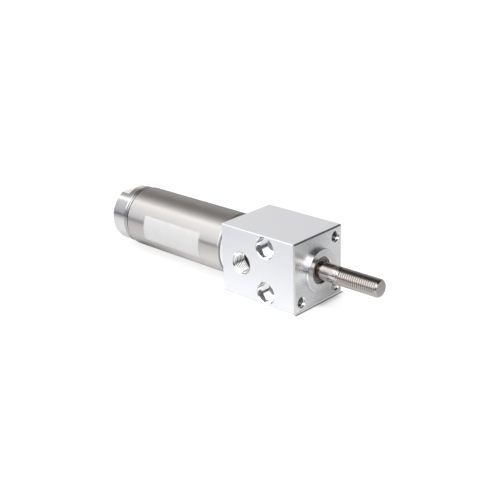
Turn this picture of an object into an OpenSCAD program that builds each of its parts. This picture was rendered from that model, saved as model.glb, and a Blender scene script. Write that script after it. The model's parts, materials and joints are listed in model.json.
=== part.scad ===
// Pneumatic cylinder with a square mounting head, a round tube with rolled ends
// and a threaded rod. The origin is the centre of the front mounting face, on the
// rod axis. The rod points along +X, the side port faces -Y and +Z is up.
// The rod is drawn fully retracted.

/* [Head block] */
// Width and height of the square head
block_w = 31.75; // [31.75:0.05:36]
// Length of the square head along the axis
block_l = 41.28; // [40:0.05:50]
// Bevel around the front face of the head
face_chamfer = 0.6; // [0.2:0.05:1]
// Bevel along the long edges of the head
edge_break = 0.35; // [0.1:0.05:0.8]
// Diameter of the pilot boss on the front face
boss_d = 19.05; // [17:0.05:22]
// Height of the pilot boss
boss_h = 1.9; // [1.2:0.1:4]

/* [Mounting holes] */
// Distance of the counterbored side holes from the front face
side_hole_x = 16.35; // [16:0.05:17]
// Distance between the two side holes
side_hole_pitch = 20.64; // [20.3:0.02:21.5]
// Diameter of the side through holes
side_hole_d = 5.2; // [4.2:0.1:5.6]
// Diameter of the screw head counterbores
counterbore_d = 9.5; // [8:0.1:9.8]
// Depth of the screw head counterbores
counterbore_depth = 5; // [3:0.1:5.4]
// Offset of the front tapped holes from the axis, sideways and upwards
face_hole_offset = 11.43; // [11:0.01:12]
// Drilled diameter of the front tapped holes
face_hole_d = 4.04; // [3.2:0.02:4.3]
// Depth of the front tapped holes
face_hole_depth = 9.5; // [6:0.1:9.8]

/* [Ports] */
// Distance of the side port from the front face
port_x = 30.26; // [29:0.02:31]
// Drilled diameter of both ports
port_d = 8.7; // [6:0.1:9]
// Depth of the side port
port_depth = 7.4; // [6:0.1:8]

/* [Tube] */
// Bore of the tube
bore_d = 26.99; // [26.9:0.01:27.4]
// Wall of the tube
tube_wall = 0.8; // [0.6:0.05:1]
// Length of the round neck between the head and the tube
neck_l = 4.72; // [4.2:0.02:8]
// Thickness of the name plate label, which is blank
label_t = 0.12; // [0.08:0.01:0.3]
// Angle that the label covers around the tube
label_arc = 49; // [20:1:90]

/* [Rear cap] */
// Diameter of the rear collar
collar_d = 27.3; // [25:0.1:27.6]
// Length of the round part of the collar
collar_l = 5.75; // [5:0.05:9]
// Length of the wrench flats behind it
flats_l = 5.55; // [4:0.05:9]
// Distance across the two wrench flats
flats_w = 23.8; // [20:0.1:25]

/* [Rod and piston] */
// Diameter of the piston rod
rod_d = 7.94; // [7:0.02:8.2]
// Distance from the front face to the rod tip, retracted
rod_out = 32.3; // [26:0.1:60]
// Length of the thread on the rod
thread_l = 21.8; // [10:0.1:22.4]
// Travel of the rod
stroke = 38.1; // [20:0.1:120]
// Length of the piston
piston_l = 11.6; // [11:0.1:20]

/* [Hidden] */

$fn = 96;
eps = 0.02;             // overshoot of cutting bodies
fit_gap = 0.02;         // radial clearance of parts that are fixed together
slide_gap = 0.05;       // radial clearance of parts that slide or turn

bore_r = bore_d / 2;
tube_r = bore_r + tube_wall;
rod_r = rod_d / 2;

// Tapped holes of the front face: the corners that have one, as signs of Y and Z
face_hole_corners = [[1, 1], [1, -1], [-1, -1]];
countersink_w = 0.65;   // how far the countersink widens the hole, on the radius
countersink_l = 0.45;   // its depth

// Joint of a tube end: its lip is rolled into a groove of the head or the cap
lip_depth = 0.55;       // how far the lip stands inside the bore
lip_l = 0.8;            // length of the lip
lip_slope_l = 0.5;      // length of the slope from the lip to the bore
lip_round = 0.8;        // outer radius of the rolled end
groove_l = 0.7;         // visible groove between the tube end and the ring
plug_l = 3.85;          // length of the plug beyond the lip groove
plug_r = bore_r - fit_gap;
groove_r = bore_r - lip_depth - slide_gap;
bead_r = tube_r - 0.4;  // the bead next to the tube end
bead_l = 1.3;           // its length
bead_groove_l = 0.8;    // the small groove beside it
bead_groove_r = bead_r - 0.5;
bead_chamfer = 0.3;

// Stations along X, from front to rear
tube_front_x = -(block_l + neck_l);
plug_front_x = tube_front_x - lip_l - lip_slope_l - slide_gap;
head_end_x = plug_front_x - plug_l;
bumper_proud = 0.7;     // how far a bumper stands out of its recess
bumper_recess = 0.8;    // depth of the recess
end_play = 0.05;        // gap between the piston and a bumper at either end
piston_rear_x = head_end_x - bumper_proud - 2 * end_play - stroke - piston_l;
piston_front_x = piston_rear_x + piston_l;
cap_end_x = piston_rear_x - end_play - bumper_proud;
plug_rear_x = cap_end_x - plug_l;
tube_rear_x = plug_rear_x - lip_slope_l - slide_gap - lip_l;
tube_l = tube_front_x - tube_rear_x;
collar_x = tube_rear_x - collar_l;
rear_x = collar_x - flats_l;

// Rod passage in the head
pocket_r = 5.9;         // pocket of the bushing
bushing_set = 1;        // how far the bushing lies behind the boss face
bushing_end_x = -12.6;
gland_r = 6.5;          // seal gland and air passage around the rod
seal_l = 4;
washer_t = 1.2;
ring_t = 0.8;
ring_groove_r = gland_r + 0.4;
seal_x = bushing_end_x - slide_gap;
washer_x = seal_x - seal_l - slide_gap;
ring_x = washer_x - washer_t - fit_gap;
wiper_r = 4.95;
wiper_l = 1.6;
passage_r = 2.5;        // drilling from the side port to the rod passage

// Static O-rings of the head and the cap
oring_section_r = 0.68;
oring_groove_l = 1.8;
oring_land = 0.95;      // from the end of the lip groove to the O-ring groove
oring_groove_r = bore_r - 2 * oring_section_r - 2 * fit_gap;

// Bumpers
bumper_in_r = 8.5;
bumper_out_r = 11.5;

// Piston
piston_r = bore_r - 0.2;
seal_groove_r = 10;
seal_groove_l = 3;
wear_groove_r = 12.2;
wear_groove_l = 2.6;
land_l = (piston_l - 2 * seal_groove_l - wear_groove_l) / 4;
seal_front_x = piston_front_x - land_l;
wear_x = seal_front_x - seal_groove_l - land_l;
seal_rear_x = wear_x - wear_groove_l - land_l;
stem_r = 3.17;          // rod stem that carries the piston
stem_bore_r = stem_r + fit_gap;
piston_oring_r = 0.68;
piston_oring_x = piston_front_x - piston_l / 2;
washer_r = 6.2;
piston_washer_t = 0.9;
nut_flats = 11.11;
nut_l = 3.9;
piston_washer_x = piston_rear_x - fit_gap;
nut_x = piston_washer_x - piston_washer_t - fit_gap;
stem_end_x = nut_x - nut_l - 0.75;
cavity_r = 7;           // cavity of the cap, which clears the nut
cavity_x = stem_end_x - 1;

// Turns a profile about the X axis: profile x is the radius, profile y is X
module turned() {
    rotate([0, 90, 0]) rotate_extrude() children();
}

// Plain ring between two stations, x0 in front
module ring(r_in, r_out, x0, l) {
    turned() translate([r_in, x0 - l]) square([r_out - r_in, l]);
}

// Round bar from station x0 towards the rear, for cutting
module bar(r, x0, l) {
    translate([x0 - l, 0, 0]) rotate([0, 90, 0]) cylinder(r = r, h = l);
}

// Cone from radius ra at x0 to radius rb at x0 - l
module taper(ra, rb, x0, l) {
    translate([x0 - l, 0, 0]) rotate([0, 90, 0]) cylinder(r1 = rb, r2 = ra, h = l);
}

// O-ring about the X axis
module o_ring(centre_r, section_r, x) {
    turned() translate([centre_r, x]) circle(r = section_r, $fn = 32);
}

// Quarter round of the rolled tube end, from the end face to the outside
function quarter(cr, cx, r, steps = 6) =
    [for (i = [0 : steps]) let (a = 90 * i / steps) [cr + r * sin(a), cx + r * cos(a)]];

// Half profile of one tube end; the end face lies at x = 0 and the tube goes to -x
function tube_end() = concat(
    [[bore_r, -lip_l - lip_slope_l], [bore_r - lip_depth, -lip_l], [bore_r - lip_depth, 0]],
    quarter(tube_r - lip_round, -lip_round, lip_round)
);

// Outline of the plug, lip groove, bead and collar that both end parts share. The
// tube end lies at x = 0, the plug goes to -x and the collar ends at +l.
function end_outline(l, r) = [
    [0, -lip_l - lip_slope_l - slide_gap - plug_l],
    [plug_r - 0.3, -lip_l - lip_slope_l - slide_gap - plug_l],
    [plug_r, -lip_l - lip_slope_l - slide_gap - plug_l + 0.3],
    [plug_r, -lip_l - lip_slope_l - slide_gap],
    [groove_r, -lip_l - slide_gap],
    [groove_r, groove_l],
    [bead_r - bead_chamfer, groove_l],
    [bead_r, groove_l + bead_chamfer],
    [bead_r, groove_l + bead_l - bead_chamfer],
    [bead_groove_r, groove_l + bead_l + bead_groove_l / 2],
    [r, groove_l + bead_l + bead_groove_l],
    [r, l],
    [0, l]
];

// Groove of the static O-ring, placed from the tube end like end_outline
module plug_groove() {
    x0 = -lip_l - lip_slope_l - slide_gap - oring_land;
    turned() translate([oring_groove_r, x0 - oring_groove_l])
        square([tube_r - oring_groove_r, oring_groove_l]);
}

// Square bar with bevelled long edges
module head_bar() {
    h = block_w / 2;
    k = h - edge_break;
    translate([-block_l, 0, 0]) rotate([90, 0, 90])
        linear_extrude(height = block_l)
            polygon([[h, k], [k, h], [-k, h], [-h, k], [-h, -k], [-k, -h], [k, -h], [h, -k]]);
}

// Bevels around the front face
module front_bevels() {
    side = face_chamfer * sqrt(2);
    for (turn = [0 : 90 : 270]) rotate([turn, 0, 0])
        translate([0, 0, block_w / 2]) rotate([0, 45, 0])
            cube([side, block_w + 1, side], center = true);
}

// Counterbored hole through the head, along +Y
module side_hole(z) {
    translate([-side_hole_x, -block_w / 2, z]) rotate([-90, 0, 0]) {
        translate([0, 0, -eps]) cylinder(d = side_hole_d, h = block_w + 2 * eps);
        translate([0, 0, -eps]) cylinder(d = counterbore_d, h = counterbore_depth + eps);
        translate([0, 0, -eps])
            cylinder(d1 = counterbore_d + 0.7, d2 = counterbore_d, h = 0.35 + eps);
        translate([0, 0, block_w - 0.3])
            cylinder(d1 = side_hole_d, d2 = side_hole_d + 0.6, h = 0.3 + eps);
    }
}

// Tapped hole in one corner of the front face, with a countersink and a drill point
module face_hole(corner) {
    translate([0, corner.x * face_hole_offset, corner.y * face_hole_offset]) {
        bar(face_hole_d / 2, eps, face_hole_depth + eps);
        taper(face_hole_d / 2, 0.05, -face_hole_depth + eps, 1.1);
        taper(face_hole_d / 2 + countersink_w, face_hole_d / 2, eps, countersink_l + eps);
    }
}

// Side port with a chamfered mouth, and the drilling to the rod passage
module side_port() {
    translate([-port_x, -block_w / 2, 0]) rotate([-90, 0, 0]) {
        translate([0, 0, -eps]) cylinder(d = port_d, h = port_depth + eps);
        translate([0, 0, -eps]) cylinder(d1 = port_d + 1.9, d2 = port_d, h = 0.95 + eps);
        cylinder(r = passage_r, h = block_w / 2 - gland_r / 2);
    }
}

// Recess of a bumper in the end face of a plug, for the end at x = 0 facing -x
module bumper_seat() {
    turned() translate([bumper_in_r, -eps])
        square([bumper_out_r - bumper_in_r, bumper_recess + eps]);
}

module head_block() {
    color("gainsboro") difference() {
        union() {
            difference() {
                head_bar();
                front_bevels();
            }
            taper(boss_d / 2 - 0.25, boss_d / 2, boss_h, 0.25);
            bar(boss_d / 2, boss_h - 0.25, boss_h);
            translate([tube_front_x, 0, 0]) turned()
                polygon(end_outline(neck_l + 1, bead_r - 0.1));
        }
        translate([tube_front_x, 0, 0]) plug_groove();
        translate([head_end_x, 0, 0]) bumper_seat();
        bar(pocket_r, boss_h + eps, boss_h - bushing_end_x + eps);
        taper(pocket_r + 0.3, pocket_r, boss_h + eps, 0.3 + eps);
        bar(gland_r, bushing_end_x + eps, bushing_end_x - head_end_x + 2 * eps);
        ring(gland_r - eps, ring_groove_r, ring_x, ring_t + fit_gap);
        for (side = [-1, 1]) side_hole(side * side_hole_pitch / 2);
        for (corner = face_hole_corners) face_hole(corner);
        side_port();
    }
}

module body_tube() {
    front = [for (p = tube_end()) [p[0], tube_front_x + p[1]]];
    rear_end = tube_end();
    rear = [for (i = [len(rear_end) - 1 : -1 : 0])
        [rear_end[i][0], tube_rear_x - rear_end[i][1]]];
    color("lightsteelblue") turned() polygon(concat(front, rear));
}

module rear_cap() {
    flat = flats_w / 2;
    color("gainsboro") difference() {
        translate([tube_rear_x, 0, 0]) mirror([1, 0, 0]) turned()
            polygon(end_outline(collar_l + flats_l, bead_r - 0.1));
        ring(collar_d / 2, tube_r, collar_x, flats_l + eps);
        for (side = [-1, 1]) translate([rear_x - eps, -tube_r, side > 0 ? flat : -flat - 5])
            cube([flats_l + eps, 2 * tube_r, 5]);
        translate([rear_x, 0, 0]) turned()
            polygon([[collar_d / 2 - 0.5, -eps], [collar_d / 2 + 1, -eps], [collar_d / 2 + 1, 1.5]]);
        translate([tube_rear_x, 0, 0]) mirror([1, 0, 0]) plug_groove();
        translate([cap_end_x, 0, 0]) mirror([1, 0, 0]) bumper_seat();
        bar(cavity_r, cap_end_x + eps, cap_end_x - cavity_x + eps);
        bar(port_d / 2, cavity_x + eps, cavity_x - rear_x + 2 * eps);
        taper(port_d / 2, port_d / 2 + 0.95, rear_x + 0.95, 0.95 + eps);
    }
}

module rod_bushing() {
    x0 = boss_h - bushing_set;
    color("peru") difference() {
        ring(rod_r + slide_gap, pocket_r - fit_gap, x0, x0 - bushing_end_x);
        bar(wiper_r + fit_gap, x0 + eps, wiper_l + eps);
    }
}

// Wiper with a lip that leans forward onto the rod
module rod_wiper() {
    x0 = boss_h - bushing_set - 0.1;
    back = x0 - wiper_l + 0.1 + fit_gap;
    lip_r = rod_r + slide_gap;
    color("black") turned() polygon([
        [lip_r, x0], [lip_r + 0.25, x0], [lip_r + 0.4, x0 - 0.5], [wiper_r, x0 - 0.5],
        [wiper_r, back], [lip_r + 0.2, back], [lip_r + 0.2, x0 - 0.5]
    ]);
}

// Cup seal of the rod, open towards the pressure side at the rear
module rod_seal() {
    in_r = rod_r + slide_gap;
    out_r = gland_r - fit_gap;
    mid_r = (in_r + out_r) / 2;
    color("black") turned() polygon([
        [in_r, seal_x], [out_r, seal_x], [out_r, seal_x - seal_l],
        [out_r - 0.5, seal_x - seal_l], [mid_r, seal_x - seal_l / 2],
        [in_r + 0.5, seal_x - seal_l], [in_r, seal_x - seal_l]
    ]);
}

module seal_retaining_washer() {
    color("silver") ring(rod_r + 0.35, gland_r - fit_gap, washer_x, washer_t);
}

// Internal retaining ring with a gap and two ears
module retaining_ring() {
    color("dimgray") difference() {
        union() {
            ring(gland_r - 0.9, ring_groove_r - fit_gap, ring_x, ring_t);
            intersection() {
                ring(gland_r - 1.5, gland_r, ring_x, ring_t);
                translate([ring_x - 2, -2, -gland_r - 1]) cube([4, 4, 3]);
            }
        }
        translate([ring_x - 2, -0.6, -gland_r - 2]) cube([4, 1.2, 4]);
    }
}

module head_o_ring() {
    x = plug_front_x - oring_land - oring_groove_l / 2;
    color("black") o_ring(bore_r - oring_section_r - fit_gap, oring_section_r, x);
}

module cap_o_ring() {
    x = plug_rear_x + oring_land + oring_groove_l / 2;
    color("black") o_ring(bore_r - oring_section_r - fit_gap, oring_section_r, x);
}

module bumper(x0) {
    color("darkolivegreen")
        ring(bumper_in_r + fit_gap, bumper_out_r - fit_gap, x0, bumper_proud + bumper_recess);
}

module front_bumper() {
    bumper(head_end_x + bumper_recess);
}

module rear_bumper() {
    bumper(cap_end_x + bumper_proud);
}

// Thin curved plate on the port side of the tube
module blank_label() {
    label_l = 0.6 * tube_l;
    mid_x = (tube_front_x + tube_rear_x) / 2;
    tilt = 2.5;
    color("whitesmoke") translate([mid_x - label_l / 2, 0, 0])
        rotate([-tilt, 0, 0]) rotate([0, 90, 0])
            rotate([0, 0, -90 - label_arc / 2]) rotate_extrude(angle = label_arc, $fn = 180)
                translate([tube_r + 0.005, 0]) square([label_t, label_l]);
}

// Cup seal of the piston; side is +1 when its lips open towards the front
module piston_seal(x0, side) {
    in_r = seal_groove_r + slide_gap;
    out_r = bore_r - slide_gap;
    mid_r = (in_r + out_r) / 2;
    half = seal_groove_l / 2 - slide_gap;
    color("black") translate([x0 - seal_groove_l / 2, 0, 0]) mirror([side < 0 ? 1 : 0, 0, 0])
        turned() polygon([
            [in_r, -half], [out_r - 0.3, -half], [out_r, half - 0.6], [out_r, half],
            [out_r - 0.7, half], [mid_r, 0], [in_r + 0.7, half], [in_r, half]
        ]);
}

module piston_seal_front() {
    piston_seal(seal_front_x, 1);
}

module piston_seal_rear() {
    piston_seal(seal_rear_x, -1);
}

module wear_ring() {
    color("ivory") ring(wear_groove_r + slide_gap, bore_r - slide_gap,
        wear_x - slide_gap, wear_groove_l - 2 * slide_gap);
}

// Rod with a chamfered tip, a threaded end, and a stem for the piston. The thread is
// a plain bar of its outer diameter, with a shallow relief where it runs out.
module piston_rod() {
    relief_x = rod_out - thread_l;
    relief_r = rod_r - 0.25;
    tip = 0.6;
    color("silver") turned() polygon([
        [0, rod_out], [rod_r - tip, rod_out], [rod_r, rod_out - tip],
        [rod_r, relief_x + 0.9], [relief_r, relief_x + 0.6], [relief_r, relief_x + 0.3],
        [rod_r, relief_x], [rod_r, piston_front_x + fit_gap],
        [stem_r, piston_front_x + fit_gap], [stem_r, stem_end_x + 0.4],
        [stem_r - 0.4, stem_end_x], [0, stem_end_x]
    ]);
}

module piston() {
    color("lightgray") difference() {
        ring(stem_bore_r, piston_r, piston_front_x, piston_l);
        for (x = [seal_front_x, seal_rear_x])
            ring(seal_groove_r, bore_r, x, seal_groove_l);
        ring(wear_groove_r, bore_r, wear_x, wear_groove_l);
        ring(stem_bore_r - eps, stem_r + 2 * piston_oring_r + 2 * fit_gap,
            piston_oring_x + 0.9, 1.8);
    }
}

module piston_o_ring() {
    color("black") o_ring(stem_r + piston_oring_r + fit_gap, piston_oring_r, piston_oring_x);
}

module piston_washer() {
    color("silver") ring(stem_bore_r, washer_r, piston_washer_x, piston_washer_t);
}

module piston_nut() {
    across_corners = nut_flats / cos(30);
    color("gray") difference() {
        translate([nut_x - nut_l, 0, 0]) rotate([0, 90, 0])
            cylinder(d = across_corners, h = nut_l, $fn = 6);
        bar(stem_bore_r, nut_x + eps, nut_l + 2 * eps);
    }
}

head_block();
body_tube();
rear_cap();
rod_bushing();
rod_wiper();
rod_seal();
seal_retaining_washer();
retaining_ring();
head_o_ring();
cap_o_ring();
front_bumper();
rear_bumper();
blank_label();
piston_seal_front();
piston_seal_rear();
wear_ring();
piston_rod();
piston();
piston_o_ring();
piston_washer();
piston_nut();
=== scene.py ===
import functools
import json
import math
import types

import bmesh
import bpy
from mathutils import Matrix, Vector


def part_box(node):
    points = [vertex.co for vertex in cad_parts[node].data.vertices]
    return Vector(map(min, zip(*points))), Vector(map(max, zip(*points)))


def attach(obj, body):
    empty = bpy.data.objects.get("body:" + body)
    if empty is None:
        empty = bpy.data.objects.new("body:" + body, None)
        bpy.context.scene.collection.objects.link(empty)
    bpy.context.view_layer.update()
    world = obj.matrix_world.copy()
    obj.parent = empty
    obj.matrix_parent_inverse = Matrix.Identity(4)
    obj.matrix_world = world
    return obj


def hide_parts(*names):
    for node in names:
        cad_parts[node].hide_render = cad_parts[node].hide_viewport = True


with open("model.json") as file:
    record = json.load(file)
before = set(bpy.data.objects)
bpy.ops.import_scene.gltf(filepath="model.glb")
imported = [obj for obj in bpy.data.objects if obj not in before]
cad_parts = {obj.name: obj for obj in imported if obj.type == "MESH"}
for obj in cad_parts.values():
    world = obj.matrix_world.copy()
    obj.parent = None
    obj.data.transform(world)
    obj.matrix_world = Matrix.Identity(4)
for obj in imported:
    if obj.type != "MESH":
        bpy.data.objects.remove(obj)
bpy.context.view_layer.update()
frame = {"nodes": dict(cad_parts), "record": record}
nodes = frame["nodes"]
scene = bpy.context.scene

MM = 0.001
INCH = 25.4 * MM
TOUCH = 1e-6  # points on one plane differ by less than this
MERGE = 1e-7  # and points that are one by less than this

# ---------------------------------------------------------------- stations from the CAD boxes
head_lo, head_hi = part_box("head_block")
tube_lo, tube_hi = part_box("body_tube")
cap_lo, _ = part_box("rear_cap")
_, rod_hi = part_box("piston_rod")
W = head_hi.z - head_lo.z
half = W / 2
mounts = {m["name"]: m for m in frame["record"]["mounts"]}
head_back = min(v.co.x for v in nodes["head_block"].data.vertices if abs(v.co.y) > half - 1e-5)


# ---------------------------------------------------------------- small helpers
def put(tree, kind, props=None, **inputs):
    """Adds a node. An input is a value or another node's output, and i2 is the input number 2."""
    n = tree.nodes.new(kind)
    for k, v in (props or {}).items():
        setattr(n, k, v)
    for k, v in inputs.items():
        s = n.inputs[int(k[1:])] if k[0] == "i" and k[1:].isdigit() else n.inputs[k.replace("_", " ")]
        if isinstance(v, bpy.types.NodeSocket):
            tree.links.new(v, s)
        else:
            s.default_value = v
    return n


def math_node(tree, op, *values, clamp=False):
    inputs = {f"i{k}": v for k, v in enumerate(values)}
    return put(tree, "ShaderNodeMath", {"operation": op, "use_clamp": clamp}, **inputs).outputs[0]


def remap(tree, value, from_lo, from_hi, to_lo, to_hi, kind="LINEAR"):
    """Takes one range to another, and holds the end values outside it."""
    n = put(tree, "ShaderNodeMapRange", {"interpolation_type": kind}, Value=value, From_Min=from_lo,
            From_Max=from_hi, To_Min=to_lo, To_Max=to_hi)
    return n.outputs["Result"]


def maths(tree):
    """The math and range nodes of a tree under short names."""
    ops = {"add": "ADD", "sub": "SUBTRACT", "mul": "MULTIPLY", "least": "MINIMUM", "most": "MAXIMUM",
           "size": "ABSOLUTE", "angle": "ARCTAN2"}
    calls = {name: functools.partial(math_node, tree, op) for name, op in ops.items()}
    calls["remap"] = functools.partial(remap, tree)
    calls["eased"] = functools.partial(remap, tree, kind="SMOOTHSTEP")
    return types.SimpleNamespace(**calls)


def mix_colours(tree, share, a, b):
    """Colour a where share is 0 and b where it is 1."""
    return put(tree, "ShaderNodeMix", {"data_type": "RGBA"}, i0=share, i6=a, i7=b).outputs[2]


def mix_numbers(tree, share, a, b):
    return put(tree, "ShaderNodeMix", {"data_type": "FLOAT"}, i0=share, i2=a, i3=b).outputs[0]


def new_material(name):
    mat = bpy.data.materials.new(name)
    mat.use_nodes = True
    mat.node_tree.nodes.clear()
    return mat, mat.node_tree


# ---------------------------------------------------------------- camera
CAMERA_TURN = 43.492, 22.091, -1.918  # azimuth, elevation and roll, in degrees
CAMERA_AIM = -0.8, -0.4758, 0.2268  # the point it looks at and how far off it stands, in block widths
CAMERA_OFF = 13.207
LENS, SENSOR = 70.613, 36
CLIP = 0.01, 20


def make_camera():
    az, el, roll = (math.radians(a) for a in CAMERA_TURN)
    back = Vector((math.sin(az) * math.cos(el), -math.cos(az) * math.cos(el), math.sin(el)))
    right = Vector((math.cos(az), math.sin(az), 0))
    up = back.cross(right)
    r = right * math.cos(roll) + up * math.sin(roll)
    u = -right * math.sin(roll) + up * math.cos(roll)
    place = Vector(CAMERA_AIM) * W + back * (CAMERA_OFF * W)
    data = bpy.data.cameras.new("camera")
    data.lens, data.sensor_width = LENS, SENSOR
    data.clip_start, data.clip_end = CLIP
    cam = bpy.data.objects.new("camera", data)
    cam.matrix_world = Matrix((*((r[k], u[k], back[k], place[k]) for k in range(3)), (0, 0, 0, 1)))
    scene.collection.objects.link(cam)
    scene.camera = cam


make_camera()

# ---------------------------------------------------------------- studio
# What the metal mirrors in three rooms, left, middle and right along X: how bright it is by
# degrees around X, counted from the front horizon upwards
LEFT_ROOM = (
    (-180, 0.64), (-90, 0.95), (-9, 0.95), (-7, 0.03), (2, 0.03), (6, 0.34), (20, 0.40), (32, 0.52), (56, 0.56),
    (61, 1.0), (64, 2.0), (70, 2.0), (74, 0.8), (80, 0.40), (92, 0.28), (108, 0.23), (122, 0.27), (140, 0.60),
    (152, 0.92), (164, 0.84), (179, 0.64))
MIDDLE_ROOM = (
    (-180, 0.70), (-90, 0.90), (-8, 0.90), (-6, 0.05), (1.5, 0.05), (4.5, 1.90), (9, 2.60), (20, 2.75),
    (45, 2.80), (62, 2.80), (70, 2.50), (79, 1.40), (90, 0.45), (102, 0.14), (120, 0.10), (136, 0.10),
    (150, 0.16), (160, 0.30), (170, 0.45), (179, 0.60))
RIGHT_ROOM = (
    (-180, 0.70), (-90, 0.90), (-9, 0.90), (-6, 0.15), (15, 0.15), (22, 0.50), (30, 1.80), (45, 2.65),
    (62, 2.65), (74, 2.40), (81, 1.65), (88, 0.55), (95, 0.10), (103, 0.03), (140, 0.03), (152, 0.08),
    (160, 0.25), (170, 0.45), (179, 0.60))
LEFT_TO_MIDDLE = -0.63, -0.46  # between which X of a direction one room fades into the next
MIDDLE_TO_RIGHT = 0.40, 0.58
WHITE, COOL, WARM = (1, 1, 1), (0.97, 0.99, 1.05), (1.12, 0.98, 0.92)


def room(tree, turn, stops, overhead=WHITE):
    """A room's brightness, a little cool low down in front and tinted overhead."""
    ramp = put(tree, "ShaderNodeValToRGB", Fac=turn)
    elements = ramp.color_ramp.elements
    while len(elements) < len(stops):
        elements.new(0.5)
    for e, (deg, level) in zip(elements, stops):
        tint = COOL if 0 < deg < 45 else overhead if 84 < deg < 145 else WHITE
        e.position = 0.5 + deg / 360
        e.color = (*(level * k for k in tint), 1)
    return ramp.outputs["Color"]


def make_world():
    """A soft studio by direction, for what the metal mirrors: three rooms side by side, each
    with pale walls and a long light above them, and dim overhead. The camera sees white."""
    world = bpy.data.worlds.new("studio")
    scene.world = world
    world.use_nodes = True
    t = world.node_tree
    t.nodes.clear()
    m = maths(t)
    x, y, z = put(t, "ShaderNodeSeparateXYZ", Vector=put(t, "ShaderNodeTexCoord").outputs["Generated"]).outputs
    turn = m.remap(m.angle(z, m.mul(y, -1)), -math.pi, math.pi, 0, 1)
    left, middle, right = room(t, turn, LEFT_ROOM, WARM), room(t, turn, MIDDLE_ROOM), room(t, turn, RIGHT_ROOM)
    rooms = mix_colours(t, m.eased(x, *LEFT_TO_MIDDLE, 0, 1), left, middle)
    rooms = mix_colours(t, m.eased(x, *MIDDLE_TO_RIGHT, 0, 1), rooms, right)
    light = put(t, "ShaderNodeBackground", Color=rooms, Strength=1.0)
    white = put(t, "ShaderNodeBackground", Color=(*WHITE, 1), Strength=1.0)
    path = put(t, "ShaderNodeLightPath")
    mix = put(t, "ShaderNodeMixShader", i0=path.outputs["Is Camera Ray"], i1=light.outputs[0],
              i2=white.outputs[0])
    put(t, "ShaderNodeOutputWorld", Surface=mix.outputs[0])


FLOOR_NEAR, FLOOR_FAR = 0.17, 1.8  # how far the paper reaches, from the block in front and from the middle
FLOOR_GAP = 0.02 * MM
FLOOR_GLOW, FLOOR_MATT = 0.76, 0.27  # for the camera: the paper's own light, and what it scatters
MIRRORED_GLOW = 0.30, 0.26  # its own light for a reflection, in front of the object and behind it
MIRRORED_MATT = 0.42  # and what it scatters there
THROWN_MATT = 0.40, 0.80  # what it scatters onto the object, from far in front and from close by
# Round patches of painted shade on the paper, which a reflection sees dimmer: their centre, the distances
# between which they fade, and their level in the middle. Lengths are in millimetres
PAINTED_SHADE_PATCHES = (
    ((-95, -69), 6, 22, 0.68), ((16, -13), 4, 15, 0.58), ((5, 18), 3, 16, 0.55), ((44, 38), 8, 24, 0.66))


def beyond(m, x, y, back, front, middle=0.0, reach=0.0):
    """How far a point of the paper lies past a strip from back to front, reach wide each way."""
    across = m.sub(m.size(m.sub(y, middle)), reach)
    return m.most(across, m.most(m.sub(x, front), m.sub(back, x)))


def fade_out(m, level, share):
    """A level where share is 0, and 1 where it is 1."""
    return m.add(level, m.mul(share, m.sub(1, level)))


def mirrored_paper(t, m, x, y):
    """How bright a reflection sees each place of the paper, as a share of its light, with painted light and
    shade on it.
    """
    here = put(t, "ShaderNodeCombineXYZ", X=x, Y=y).outputs[0]

    def away_from(place):
        return put(t, "ShaderNodeVectorMath", {"operation": "DISTANCE"}, i0=here,
                   i1=(place[0] * MM, place[1] * MM, 0)).outputs["Value"]

    # painted shade: dim on the right
    level = m.eased(x, 40 * MM, 100 * MM, 1, 0.3)
    # painted light: brighter beside the port face, most of all close to it
    gain = m.least(m.remap(y, -72 * MM, -20 * MM, 0, 0.34), m.remap(y, -20 * MM, -10 * MM, 0.34, 0))
    gain = m.mul(gain, m.remap(x, -80 * MM, -62 * MM, 0, 1))
    # painted shade and light: a band under the port side of the tube, dim at the cap and bright towards the
    # block
    band = m.remap(x, -106 * MM, -72 * MM, 0.40, 1.45)
    off_band = beyond(m, x, y, -105 * MM, -50 * MM, -9 * MM)
    band = fade_out(m, band, m.eased(off_band, 2 * MM, 6.5 * MM, 0, 1))
    # painted shade: it falls off far out on the left, in front and behind
    fall_front = m.most(m.remap(y, -100 * MM, -46 * MM, 0.45, 1), m.remap(x, -155 * MM, -125 * MM, 0, 1))
    fall_back = m.most(m.remap(y, 40 * MM, 90 * MM, 1, 0.25), m.remap(x, -140 * MM, -110 * MM, 0, 1))
    for share in (m.add(gain, 1), band, fall_front, fall_back):
        level = m.mul(level, share)
    # and painted shadow: it is dimmer where the object stands close over it, and in patches
    under_block = beyond(m, x, y, head_back, 0, reach=half - 1.5 * MM)
    under_tube = beyond(m, x, y, -102 * MM, -54 * MM)
    patches = [(away_from(place), *rest) for place, *rest in PAINTED_SHADE_PATCHES]
    for how_far, lo, hi, dim in ((under_block, 0, 1, 0.25), (under_tube, 7, 16, 0.74), *patches):
        level = m.mul(level, m.eased(how_far, lo * MM, hi * MM, dim, 1))
    return level


def contact_shadow(m, x, y):
    """A painted line of shadow where the front of the block meets the paper, deeper under the rod."""
    edge = m.mul(m.eased(x, 0.5 * MM, 1.3 * MM, 0.22, 1), m.eased(x, 1 * MM, 7 * MM, 0.82, 1))
    under_rod = m.mul(m.eased(x, 1 * MM, 4 * MM, 0.70, 1), m.eased(x, 1 * MM, 15 * MM, 0.90, 1))
    off_rod = m.size(m.sub(y, 5 * MM))
    edge = m.mul(edge, fade_out(m, under_rod, m.eased(off_rod, 4 * MM, 10 * MM, 0, 1)))
    beside = m.most(m.sub(m.size(y), half), m.mul(x, -1))
    return m.most(edge, m.eased(beside, 0, 0.4 * MM, 0, 1))


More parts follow.
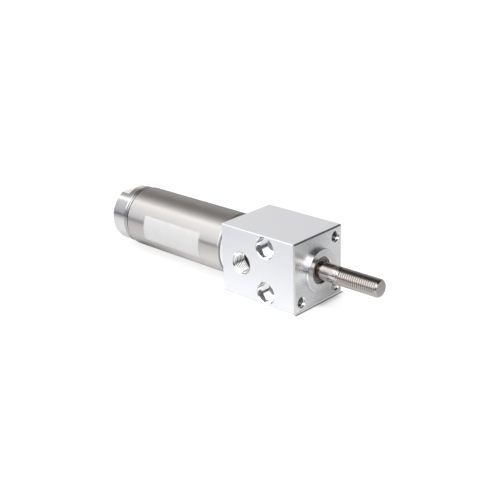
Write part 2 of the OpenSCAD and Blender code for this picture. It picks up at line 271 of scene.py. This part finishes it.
def make_floor():
    """White paper. The camera sees it lifted to white with a soft shadow left in it and a painted line of
    shadow at the block's front, and a reflection sees the paper with painted light and shade on it, dimmer
    behind the object."""
    me = bpy.data.meshes.new("floor")
    near, far = head_lo.y - FLOOR_NEAR, FLOOR_FAR
    me.from_pydata([(-far, near, 0), (far, near, 0), (far, far, 0), (-far, far, 0)], [], [(0, 1, 2, 3)])
    floor = bpy.data.objects.new("floor", me)
    floor.location = (0, 0, head_lo.z - FLOOR_GAP)
    scene.collection.objects.link(floor)
    mat, t = new_material("floor_white")
    m = maths(t)
    path = put(t, "ShaderNodeLightPath").outputs
    place = put(t, "ShaderNodeNewGeometry").outputs["Position"]
    x, y, _ = put(t, "ShaderNodeSeparateXYZ", Vector=place).outputs
    seen = m.most(path["Is Camera Ray"], path["Is Transmission Ray"])
    glossy = path["Is Glossy Ray"]
    mirrored = mirrored_paper(t, m, x, y)
    line = contact_shadow(m, x, y)
    mirrored_glow = m.mul(m.eased(y, -10 * MM, 40 * MM, *MIRRORED_GLOW), mirrored)
    glow = m.add(m.mul(seen, m.mul(line, FLOOR_GLOW)), m.mul(glossy, mirrored_glow))
    thrown = m.eased(y, -70 * MM, -18 * MM, *THROWN_MATT)
    matt = mix_numbers(t, glossy, thrown, m.mul(mirrored, MIRRORED_MATT))
    matt = mix_numbers(t, seen, matt, m.mul(line, FLOOR_MATT))
    glows = put(t, "ShaderNodeEmission", Color=(*WHITE, 1), Strength=glow)
    scatters = put(t, "ShaderNodeBsdfDiffuse", Color=matt)
    both = put(t, "ShaderNodeAddShader", i0=glows.outputs[0], i1=scatters.outputs[0])
    put(t, "ShaderNodeOutputMaterial", Surface=both.outputs[0])
    me.materials.append(mat)


def make_lamp(name, size, power, place, aim):
    data = bpy.data.lights.new(name, "AREA")
    data.shape, data.size, data.size_y, data.energy = "RECTANGLE", size[0], size[1], power
    lamp = bpy.data.objects.new(name, data)
    lamp.location = place
    lamp.rotation_euler = (Vector(aim) - Vector(place)).to_track_quat("-Z", "Y").to_euler()
    scene.collection.objects.link(lamp)
    return lamp


make_world()
make_floor()
key = make_lamp("key", size=(0.8, 0.6), power=10.5, place=(0.20, 0.0, 1.1), aim=(-0.04, 0, 0))
key.visible_glossy = False

scene.view_settings.view_transform = "Standard"

# ---------------------------------------------------------------- threads
# A thread's form by shares of its pitch: 0 at its larger radius, and 1 at its smaller one
V_FORM = (
    (0.0, 0.0), (0.06, 0.0), (0.21, 0.42), (0.36, 0.90), (0.44, 1.0), (0.62, 1.0), (0.70, 0.90), (0.85, 0.42))
INSET = 0.02 * MM  # the helix ends this far inside the wall that it replaces
SLACK = 0.05 * MM  # how far a wall's points may lie off its radius
ON_WALL = 0.02 * MM  # and how far those of a plain hole's rings may
MOUTH = 1.5  # no mouth is wider than this many times its hole
RING_POINTS = 12  # a turned ring has more points than this
SHARP = math.radians(28)  # an edge that turns further than this is drawn sharp
RUN_OUT = 0.1 * MM, 1.1 * MM  # where the rod's thread begins, and over what length it deepens


def smooth01(v):
    v = min(max(v, 0.0), 1.0)
    return v * v * (3 - 2 * v)


def by_angle(verts, origin, e1, e2):
    return sorted(((math.atan2((v.co - origin).dot(e2), (v.co - origin).dot(e1)) % (2 * math.pi), v)
                   for v in verts), key=lambda p: p[0])


def zip_rings(bm, a, b):
    """Joins two rings of points, each sorted by angle, with triangles."""
    i = j = 0
    while i < len(a) or j < len(b):
        next_a = a[i + 1][0] if i + 1 < len(a) else 2 * math.pi + a[0][0]
        next_b = b[j + 1][0] if j + 1 < len(b) else 2 * math.pi + b[0][0]
        va, vb = a[i % len(a)][1], b[j % len(b)][1]
        if j >= len(b) or (i < len(a) and next_a <= next_b):
            bm.faces.new((va, vb, a[(i + 1) % len(a)][1]))
            i += 1
        else:
            bm.faces.new((va, vb, b[(j + 1) % len(b)][1]))
            j += 1


def form_at(u):
    """The thread form at a share u of the pitch."""
    pts = (*V_FORM, (1.0, V_FORM[0][1]))
    for (f0, g0), (f1, g1) in zip(pts, pts[1:]):
        if u <= f1:
            return g0 + (g1 - g0) * (u - f0) / (f1 - f0)
    return pts[-1][1]


def cut_thread(bm, origin, axis, end, radius, pitch, steps, keep):
    """Replaces the plain wall between depth 0 and end by a helical surface. radius(t, g) is
    its radius at depth t where the form is g, and keep(t, r) picks the old wall's points."""
    e1 = axis.orthogonal().normalized()
    e2 = axis.cross(e1)

    def place(v):
        d = v.co - origin
        t = d.dot(axis)
        return t, (d - axis * t).length

    where = {v: place(v) for v in bm.verts}
    wall = {v for v, p in where.items() if keep(*p)}
    old = [f for f in bm.faces if all(v in wall for v in f.verts)
           and max(where[v][0] for v in f.verts) - min(where[v][0] for v in f.verts) > TOUCH]
    bmesh.ops.delete(bm, geom=old, context="FACES")
    rims = [{v for e in bm.edges if len(e.link_faces) == 1 for v in e.verts if (place(v)[0] > end / 2) == far}
            for far in (False, True)]
    rows_a_turn, lo, hi = len(V_FORM), INSET, end - INSET
    rows = (math.ceil((hi - lo) / pitch) + 3) * rows_a_turn
    grid = []
    for k in range(rows + 1):
        row = []
        for j in range(steps):
            f, g = V_FORM[k % rows_a_turn]
            raw = lo + (k // rows_a_turn + f + j / steps - 1) * pitch
            t = min(max(raw, lo), hi)
            if t != raw:
                g = form_at(((t - lo) / pitch - j / steps) % 1)
            turn = 2 * math.pi * j / steps
            out = e1 * math.cos(turn) + e2 * math.sin(turn)
            row.append(bm.verts.new(origin + axis * t + out * radius(t, g)))
        grid.append(row)
    for k in range(rows):
        for j in range(steps - 1):
            bm.faces.new((grid[k][j], grid[k][j + 1], grid[k + 1][j + 1], grid[k + 1][j]))
        # a turn further on, the last step meets the first
        on = k + rows_a_turn
        if on < rows:
            bm.faces.new((grid[k][-1], grid[on][0], grid[on + 1][0], grid[k + 1][-1]))
    bmesh.ops.remove_doubles(bm, verts=[v for row in grid for v in row], dist=MERGE)
    loose = [v for v in bm.verts if not v.link_faces]
    bmesh.ops.delete(bm, geom=loose, context="VERTS")
    for rim, at in zip(rims, (lo, hi)):
        ring = {v for e in bm.edges if len(e.link_faces) == 1 for v in e.verts
                if abs(place(v)[0] - at) < TOUCH and v not in rim}
        zip_rings(bm, by_angle(rim, origin, e1, e2), by_angle(ring, origin, e1, e2))


def tapped(bm, origin, axis, minor, spare, depth, pitch, steps):
    """Cuts an internal thread into a plain hole, down to a spare depth above its bottom. The
    countersink at its mouth and the hole's depth are read off the solid."""
    counts = {}
    for v in bm.verts:
        d = v.co - origin
        t = d.dot(axis)
        key = (round(t, 6), round((d - axis * t).length, 5))
        if key[0] > -TOUCH and key[1] < minor * MOUTH:
            counts[key] = counts.get(key, 0) + 1
    rim = min(r for (t, r), n in counts.items() if abs(t) < TOUCH and n > RING_POINTS and r > minor)
    walls = [t for (t, r), n in counts.items() if abs(r - minor) < ON_WALL and n > RING_POINTS]
    mouth, end = min(walls), max(walls)

    def radius(t, g):
        cone = rim + (minor - rim) * t / mouth if t < mouth else minor
        return max(minor + depth * (1 - g) * smooth01((end - spare - t) / pitch), cone)

    cut_thread(bm, origin, axis, end, radius, pitch, steps,
               lambda t, r: -TOUCH < t < end + TOUCH and minor - SLACK < r < rim + SLACK)


def copy_of(node):
    bm = bmesh.new()
    bm.from_mesh(nodes[node].data)
    bmesh.ops.remove_doubles(bm, verts=bm.verts, dist=MERGE)
    return bm


def finish_mesh(bm, name, body, node):
    """Closes a bmesh into a piece that stands for a CAD node."""
    bmesh.ops.recalc_face_normals(bm, faces=bm.faces)
    for f in bm.faces:
        f.smooth = True
    for e in bm.edges:
        e.smooth = e.is_manifold and e.calc_face_angle(0) < SHARP
    me = bpy.data.meshes.new(name)
    bm.to_mesh(me)
    bm.free()
    piece = bpy.data.objects.new(name, me)
    scene.collection.objects.link(piece)
    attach(piece, body)
    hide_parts(node)
    return piece


# ---------------------------------------------------------------- materials
NOISE = 0.3, 0.7  # most of a noise lies between these
QUARTER_TURN = 0.25


def grain_at(tree, where, scale, detail, roughness=0.5):
    return put(tree, "ShaderNodeTexNoise", Vector=where, Scale=scale, Detail=detail,
               Roughness=roughness).outputs["Fac"]


def metal(name, colour, rough, marks, depth, grain=0.02, pitch=0.25, wear=0.03, metallic=1.0, aniso=0.0,
          haze=None):
    """A machined metal. marks says which way the tool ran: 'x' leaves rings around the axis,
    'r' circles on a face and 'l' lines along the axis, pitch mm apart and depth mm deep. haze
    is the share and the roughness of a duller layer."""
    mat, t = new_material(name)
    m = maths(t)
    where = put(t, "ShaderNodeTexCoord").outputs["Object"]
    x, y, z = put(t, "ShaderNodeSeparateXYZ", Vector=where).outputs
    if marks == "x":
        along = x
    elif marks == "r":
        along = put(t, "ShaderNodeVectorMath", {"operation": "LENGTH"},
                    i0=put(t, "ShaderNodeCombineXYZ", Y=y, Z=z).outputs[0]).outputs["Value"]
    else:
        along = m.add(z, y)
    line = put(t, "ShaderNodeCombineXYZ", X=m.mul(along, 1 / (pitch * MM)))
    slow = put(t, "ShaderNodeVectorMath", {"operation": "SCALE"}, i0=where, Scale=60.0)
    at = put(t, "ShaderNodeVectorMath", {"operation": "ADD"}, i0=line.outputs[0], i1=slow.outputs[0])
    rings = grain_at(t, at.outputs[0], 1.0, 5.0, 0.65)
    cloud = grain_at(t, where, 140.0, 4.0, 0.6)
    fine = grain_at(t, where, 2600.0, 3.0)
    scratch_at = put(t, "ShaderNodeMapping", Vector=where, Rotation=(0.5, 0.9, 0.35), Scale=(160, 2200, 900))
    scratch = m.remap(grain_at(t, scratch_at.outputs[0], 1.0, 2.0), 0.66, 0.76, 0, 1)
    # colour: the metal, a slow drift of tone, and slightly darker tool marks
    warm = [min(1, c * k) for c, k in zip(colour, (1.03, 1.0, 0.965))]
    tone = mix_colours(t, m.remap(cloud, 0.35, 0.65, 0, 1), (*colour, 1), (*warm, 1))
    tone = mix_colours(t, m.remap(rings, 0.45, 0.8, 0, 0.5), tone, (*(c * 0.90 for c in colour), 1))
    # roughness: tool marks, clouds, and worn scratches
    r = m.add(m.remap(rings, *NOISE, -grain, grain), m.remap(cloud, *NOISE, rough - wear / 2, rough + wear / 2))
    r = m.add(r, m.mul(scratch, wear), clamp=True)
    # relief: tool marks with a fine grain on them, cut through by the scratches
    height = m.sub(m.add(rings, m.mul(fine, 0.25)), m.mul(scratch, 0.3))
    bump = put(t, "ShaderNodeBump", Strength=1.0, Distance=depth * MM, Height=height).outputs[0]

    def shader(roughness):
        return put(t, "ShaderNodeBsdfPrincipled", Base_Color=tone, Roughness=roughness, Normal=bump,
                   Metallic=metallic)

    p = shader(r)
    if aniso:
        p.inputs["Anisotropic"].default_value = aniso
        p.inputs["Anisotropic Rotation"].default_value = QUARTER_TURN
        around = put(t, "ShaderNodeTangent", {"direction_type": "RADIAL", "axis": "X"})
        t.links.new(around.outputs[0], p.inputs["Tangent"])
    top = p.outputs[0]
    if haze:
        share, dull = haze
        top = put(t, "ShaderNodeMixShader", i0=share, i1=top, i2=shader(dull).outputs[0]).outputs[0]
    put(t, "ShaderNodeOutputMaterial", Surface=top)
    return mat


def plain(name, colour, rough, depth):
    """Rubber, plastic or film, with a faint grain depth mm deep."""
    mat, t = new_material(name)
    where = put(t, "ShaderNodeTexCoord").outputs["Object"]
    cloud = grain_at(t, where, 180.0, 4.0)
    fine = grain_at(t, where, 900.0, 3.0)
    tone = mix_colours(t, cloud, (*(k * 0.92 for k in colour), 1), (*(min(1, k * 1.06) for k in colour), 1))
    bump = put(t, "ShaderNodeBump", Strength=1.0, Distance=depth * MM, Height=fine)
    p = put(t, "ShaderNodeBsdfPrincipled", Base_Color=tone, Normal=bump.outputs[0],
            Roughness=remap(t, cloud, *NOISE, rough - 0.05, rough + 0.05))
    put(t, "ShaderNodeOutputMaterial", Surface=p.outputs[0])
    return mat


FINISH = {
    "block": metal("block_satin", (0.616, 0.626, 0.655), 0.42, "l", 0.004, metallic=0.55, wear=0.06),
    "face": metal("face_turned", (0.693, 0.702, 0.728), 0.28, "r", 0.004, aniso=1.0, metallic=0.97, pitch=0.2),
    "ring": metal("boss_end_turned", (0.62, 0.625, 0.64), 0.28, "r", 0.004, aniso=0.7, pitch=0.2),
    "boss": metal("boss_turned", (0.82, 0.825, 0.84), 0.09, "x", 0.001),
    "edge": metal("edge_cut", (0.76, 0.77, 0.78), 0.13, "x", 0.001),
    # a darker copy of the bevel finish: painted shade on the bevel between the front and the port side
    "painted_shade_edge": metal("edge_cut_painted_shade", (0.52, 0.52, 0.53), 0.20, "x", 0.001),
    "bore": metal("bore_cut", (0.78, 0.79, 0.81), 0.09, "l", 0.001),
    # a lighter copy of the bore finish: painted light on the port's walls
    "port": metal("port_cut_painted_light", (0.97, 0.97, 0.98), 0.10, "l", 0.001),
    "through": metal("drilled_finish_and_painted_light", (0.72, 0.72, 0.73), 0.40, "x", 0.004, metallic=0.25),
    # pit, deep and screw are dark copies of the bore finish: painted shade in the holes
    "pit": metal("pit_painted_shade", (0.26, 0.26, 0.27), 0.35, "x", 0.004),
    "deep": metal("port_depth_painted_shade", (0.07, 0.07, 0.075), 0.4, "x", 0.004),
    "screw": metal("tapped_hole_painted_shade", (0.23, 0.23, 0.24), 0.16, "l", 0.001),
    "bead": metal("bead_turned", (0.46, 0.46, 0.465), 0.24, "x", 0.002),
    "neck": metal("neck_groove", (0.72, 0.715, 0.72), 0.40, "x", 0.002, metallic=0.5),
    "gap": metal("groove_dark", (0.085, 0.078, 0.07), 0.35, "x", 0.002),
    "cap": metal("cap_turned", (0.70, 0.71, 0.725), 0.19, "x", 0.002, aniso=0.6, haze=(0.30, 0.40)),
    "flat": metal("flat_milled", (0.58, 0.575, 0.55), 0.40, "l", 0.003, metallic=0.3),
    "tube": metal("tube_ground", (0.550, 0.539, 0.530), 0.32, "x", 0.003, grain=0.015, aniso=1.0,
                  haze=(0.45, 0.46)),
    "rod": metal("rod_polished", (0.53, 0.505, 0.495), 0.10, "x", 0.001, grain=0.01, aniso=0.3),
    "tip": metal("rod_end_cut", (0.46, 0.445, 0.44), 0.30, "r", 0.003),
    "thread": metal("thread_rolled", (0.47, 0.445, 0.435), 0.17, "x", 0.003),
    # bronze's tint, darkened as painted shade of the bushing's recess
    "bronze": metal("bronze_bushing", (0.23, 0.195, 0.17), 0.30, "x", 0.004),
    "steel": metal("zinc_steel", (0.62, 0.62, 0.63), 0.28, "x", 0.004),
    "spring": metal("spring_steel_dark", (0.16, 0.15, 0.15), 0.35, "x", 0.004),
    "rubber": plain("seal_rubber_black", (0.02, 0.02, 0.022), 0.55, 0.01),
    "wiper": plain("wiper_grey", (0.21, 0.195, 0.18), 0.5, 0.01),
    "bumper": plain("bumper_rubber_green", (0.10, 0.13, 0.07), 0.6, 0.01),
    "ptfe": plain("wear_plastic_ivory", (0.62, 0.58, 0.48), 0.4, 0.005),
    "label": plain("label_film_bare", (0.48, 0.48, 0.468), 0.34, 0.002),
}
LOOK = {
    "head_block": "block", "body_tube": "tube", "rear_cap": "cap", "rod_bushing": "bronze",
    "rod_wiper": "wiper", "rod_seal": "rubber", "seal_retaining_washer": "steel",
    "retaining_ring": "spring", "head_o_ring": "rubber", "cap_o_ring": "rubber",
    "front_bumper": "bumper", "rear_bumper": "bumper", "blank_label": "label",
    "piston_seal_front": "rubber", "piston_seal_rear": "rubber", "wear_ring": "ptfe",
    "piston_rod": "rod", "piston": "cap", "piston_o_ring": "rubber", "piston_washer": "steel",
    "piston_nut": "steel",
}
for name, look in LOOK.items():
    for s in nodes[name].material_slots:
        s.material = FINISH[look]

# ---------------------------------------------------------------- threaded pieces
ROD_THREAD = {"depth": 0.62 * MM, "pitch": INCH / 24, "steps": 72}  # 5/16-24
PORT_THREAD = {"depth": 0.72 * MM, "pitch": INCH / 27, "steps": 64}  # 1/8-27 pipe
HOLE_THREAD = {"depth": 0.39 * MM, "pitch": INCH / 32, "steps": 40}  # number 10-32


def make_rod():
    """The rod with its rolled thread, which runs out smoothly towards the plain part."""
    bm = copy_of("piston_rod")
    big = max(math.hypot(v.co.y, v.co.z) for v in bm.verts)
    tip = rod_hi.x
    # the rings are the relief groove's four, of which the last starts the thread, and the tip's two
    rings = sorted({round(v.co.x, 6) for v in bm.verts if v.co.x > head_hi.x + 5 * MM})
    start, chamfer = rings[3], tip - rings[4]
    end_r = max(math.hypot(v.co.y, v.co.z) for v in bm.verts if v.co.x > tip - TOUCH)

    def radius(t, g):
        r = big - ROD_THREAD["depth"] * g * smooth01((t - RUN_OUT[0]) / RUN_OUT[1])
        left = tip - start - t
        return min(r, end_r + left * (big - end_r) / chamfer) if left < chamfer else r

    cut_thread(bm, Vector((start, 0, 0)), Vector((1, 0, 0)), tip - start, radius, ROD_THREAD["pitch"],
               ROD_THREAD["steps"], lambda t, r: t > -TOUCH and r > end_r - SLACK)
    return finish_mesh(bm, "rod", "rod_assembly", "piston_rod")


def make_head():
    """The head with threads in its side port and its front holes."""
    bm = copy_of("head_block")
    port = mounts["side_port"]
    tapped(bm, Vector((port["pos_m"][0], head_lo.y, 0)), Vector((0, 1, 0)), port["dims"]["r_mm"] * MM,
           spare=0.5 * MM, **PORT_THREAD)
    pair, low = mounts["front_tapped_holes"], mounts["lower_tapped_hole"]
    up = pair["dims"]["spacing_y_mm"] * MM / 2
    for y, z in ((pair["pos_m"][1], up), (pair["pos_m"][1], -up), low["pos_m"][1:]):
        tapped(bm, Vector((0, y, z)), Vector((-1, 0, 0)), low["dims"]["r_mm"] * MM,
               spare=1.2 * MM, **HOLE_THREAD)
    return finish_mesh(bm, "head", "barrel", "head_block")


def make_cap():
    """The rear cap with a thread in its end port."""
    bm = copy_of("rear_cap")
    tapped(bm, Vector((cap_lo.x, 0, 0)), Vector((1, 0, 0)), mounts["rear_port"]["dims"]["r_mm"] * MM,
           spare=3 * MM, **PORT_THREAD)
    return finish_mesh(bm, "cap", "barrel", "rear_cap")


rod = make_rod()
head = make_head()
cap = make_cap()

# ---------------------------------------------------------------- finishes on the threaded pieces
port_x = mounts["side_port"]["pos_m"][0]
side_x, _, side_z = mounts["upper_counterbore"]["pos_m"]
HAIR = 0.01 * MM  # a face this close to a plane lies in it
STRAIGHT = 0.995  # a flat face's normal is at least this straight
JOINT_L, JOINT_R = 2.9 * MM, 12 * MM  # length and least radius of the bead and grooves at a tube end
GAP_L, GAP_R = 0.72 * MM, 13.85 * MM  # length and largest radius of the groove between tube and bead
BOSS_BORE_R = 5.89 * MM
BEVEL = 0.97 * MM  # depth of the bevels and countersinks in the head's outside
CORNER_R = 0.7 * half  # they all lie further than this from the axis
THROUGH_R, COUNTERBORE_L = 2.7 * MM, 4.9 * MM
PASSAGE_R, PASSAGE_REACH = 14 * MM, 8 * MM  # the head's own bores lie within these
FRONT_HOLE_L, FRONT_THREAD_L = 12 * MM, 2.4 * MM  # how deep the front holes reach and show their thread
PORT_R, PORT_L = 4.4 * MM, 7.05 * MM
FLAT_X, FLAT_Z = -113 * MM, 11 * MM  # the cap's wrench flats lie behind and outside these
CAP_BORE_R = 7.1 * MM
ROD_THREAD_X = 11.2 * MM  # the rod is plain up to here


def paint(piece, looks, choose):
    """Gives each face of a piece one of several finishes; choose(centre, normal) says which."""
    for look in looks:
        piece.data.materials.append(FINISH[look])
    for f in piece.data.polygons:
        f.material_index = looks.index(choose(f.center, f.normal))


def near_skin(c):
    """True within the depth of a bevel or countersink of the head's outside."""
    return min(half - abs(c.y), half - abs(c.z), -c.x, c.x - head_back) < BEVEL


def head_look(c, n):
    """Which finish a face of the head has, by where it lies and which way it faces."""
    out = max(abs(c.y), abs(c.z))
    r = math.hypot(c.y, c.z)
    flat = max(abs(n.x), abs(n.y), abs(n.z)) > STRAIGHT
    # the neck behind the block, and the boss in front of it
    if c.x < head_back - HAIR:
        return "neck" if tube_hi.x < c.x < tube_hi.x + JOINT_L and r > JOINT_R else "boss"
    if c.x > HAIR:
        return "bore" if r < BOSS_BORE_R and not flat else "ring" if n.x > STRAIGHT else "boss"
    # the block's outside
    if n.x > STRAIGHT and c.x > -HAIR:
        return "face"
    if out > half - HAIR and flat or n.x < -STRAIGHT and c.x < head_back + HAIR:
        return "block"
    if r > CORNER_R and not flat and near_skin(c):
        # painted shade: the bevel between the front and the port side gets the darker copy of the bevel finish
        between_front_and_port_side = n.x > 0.6 and n.y < -0.6
        return "painted_shade_edge" if between_front_and_port_side else "edge"
    # the through holes behind their counterbores, and the bores around the axis
    if math.hypot(c.x - side_x, abs(c.z) - abs(side_z)) < THROUGH_R and abs(c.y) < half - COUNTERBORE_L:
        return "through"
    if r < PASSAGE_R and abs(c.y) < PASSAGE_REACH:
        return "bore"
    # the front holes, of which the lower far one is painted light with the lighter through-hole finish, and the
    # port
    if c.x > -FRONT_HOLE_L:
        # painted light: the lower far hole gets the through-hole finish to look lit
        if c.y > 0 > c.z:
            return "through"
        # painted shade: the front holes' thread and depths get dark copies of the bore finish
        return "pit" if c.x < -FRONT_THREAD_L else "screw"
    if abs(c.x - port_x) < PORT_R and c.y < 0:
        # painted shade deep in the port, and painted light on its walls nearer the mouth
        return "deep" if c.y > -half + PORT_L else "port"
    return "bore"


def cap_look(c, n):
    """The same for the cap: its wrench flats, the joint beside the tube, and its bore."""
    if abs(n.z) > 0.999 and c.x < FLAT_X and abs(c.z) > FLAT_Z:
        return "flat"
    r = math.hypot(c.y, c.z)
    if r > JOINT_R and c.x > tube_lo.x - JOINT_L:
        return "gap" if c.x > tube_lo.x - GAP_L and r < GAP_R else "bead"
    return "bore" if r < CAP_BORE_R else "cap"


def rod_look(c, n):
    """And for the rod: its cut end, its thread and its plain part."""
    if n.x > 0.9 and c.x > rod_hi.x - 0.1 * MM:
        return "tip"
    return "thread" if c.x > ROD_THREAD_X else "rod"


paint(rod, ["rod", "thread", "tip"], rod_look)
paint(head, ["block", "face", "ring", "boss", "edge", "painted_shade_edge", "bore", "port", "pit", "through", "deep",
             "screw", "neck"], head_look)
paint(cap, ["cap", "flat", "bore", "bead", "gap"], cap_look)
